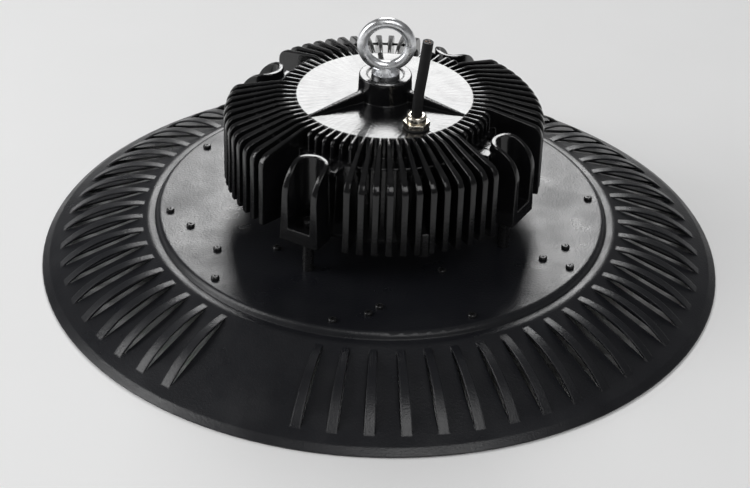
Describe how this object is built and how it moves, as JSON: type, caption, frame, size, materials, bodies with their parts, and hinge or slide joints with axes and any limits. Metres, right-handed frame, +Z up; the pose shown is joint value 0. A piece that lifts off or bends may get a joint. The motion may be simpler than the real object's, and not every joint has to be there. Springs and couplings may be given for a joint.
{
  "type": "high bay light",
  "caption": "Round high bay light: louvred black shade, finned driver housing on spacers above it, lifting eyebolt and a short cord stub in a cable gland.",
  "frame": {"origin": "centre of the shade's rim, on the surface that the light rests on", "axes": "+Z up along the axis of the shade and housing, -Y towards the plain field of the skirt, which the picture shows in front"},
  "size_m": [0.416, 0.416, 0.1667],
  "materials": {
    "shade": "black fine-textured powder coat",
    "driver_housing": "glossy black paint on a die casting",
    "eyebolt": "zinc plated",
    "gland_body": "nickel plated brass",
    "gland_cap": "nickel plated brass",
    "gland_seal": "soft black rubber",
    "gland_washer": "soft black rubber",
    "gland_locknut": "nickel plated brass",
    "power_cord": "matt black cord sheath",
    "spacers": "zinc plated",
    "housing_screws": "zinc plated",
    "housing_base": "bare aluminium",
    "base_screws": "zinc plated",
    "driver_board": "green circuit board",
    "board_screws": "zinc plated",
    "transformer": "ferrite core with yellow tape",
    "output_choke": "black sleeve",
    "capacitors": "dark sleeve",
    "terminal_block": "green terminal block",
    "base_grommet": "soft black rubber",
    "plate_grommet": "soft black rubber",
    "heat_plate": "bare aluminium",
    "led_board": "white coated aluminium board",
    "led_emitters": "yellow phosphor",
    "lens": "clear polycarbonate, lightly frosted",
    "lens_gasket": "grey silicone rubber",
    "lens_ring": "black paint on a die casting",
    "ring_screws": "black oxide",
    "plate_screws": "black oxide"
  },
  "bodies": {
    "root": {"shade": "shade", "driver_housing": "driver_housing", "eyebolt": "eyebolt", "gland_body": "gland_body", "gland_cap": "gland_cap", "gland_seal": "gland_seal", "gland_washer": "gland_washer", "gland_locknut": "gland_locknut", "power_cord": "power_cord", "spacers": "spacers", "housing_screws": "housing_screws", "housing_base": "housing_base", "base_screws": "base_screws", "driver_board": "driver_board", "board_screws": "board_screws", "transformer": "transformer", "output_choke": "output_choke", "capacitors": "capacitors", "terminal_block": "terminal_block", "base_grommet": "base_grommet", "plate_grommet": "plate_grommet", "heat_plate": "heat_plate", "led_board": "led_board", "led_emitters": "led_emitters", "lens": "lens", "lens_gasket": "lens_gasket", "lens_ring": "lens_ring", "ring_screws": "ring_screws", "plate_screws": "plate_screws"}
  },
  "joints": []
}
